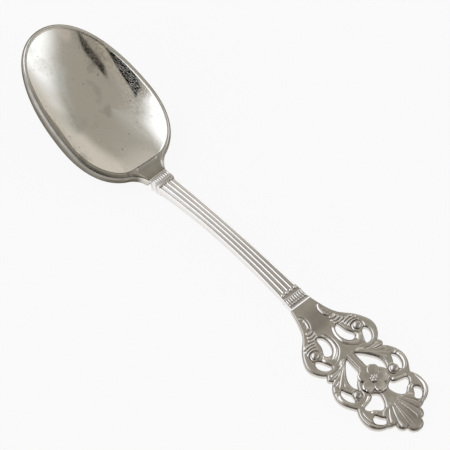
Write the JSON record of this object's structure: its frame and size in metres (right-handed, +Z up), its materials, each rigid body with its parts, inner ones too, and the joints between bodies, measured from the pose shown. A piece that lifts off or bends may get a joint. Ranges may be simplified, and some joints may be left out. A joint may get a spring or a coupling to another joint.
{
  "type": "teaspoon",
  "caption": "Ornate silver teaspoon with an egg-shaped bowl, a fluted stem between chased collars and an openwork finial of scrolls and leaves around a rosette.",
  "frame": {"origin": "middle of the spoon's bounding box, on the surface that it lies on", "axes": "+X along the spoon from the bowl's tip to the finial's tip, +Y across it, +Z up out of the bowl"},
  "size_m": [0.1196, 0.0238, 0.0144],
  "materials": {
    "bowl_silver": "polished silver with fine scratches",
    "stem_silver": "polished silver, darker in the flutes",
    "chased_silver": "chased silver, darker in the recesses",
    "cast_silver": "cast and chased silver, darker in the recesses"
  },
  "bodies": {
    "root": {"bowl": "bowl_silver", "stem": "stem_silver", "bowl_collar": "chased_silver", "finial_collar": "chased_silver", "finial": "cast_silver", "rosette": "cast_silver", "rosette_stud": "cast_silver", "scroll_beads": "cast_silver"}
  },
  "joints": []
}
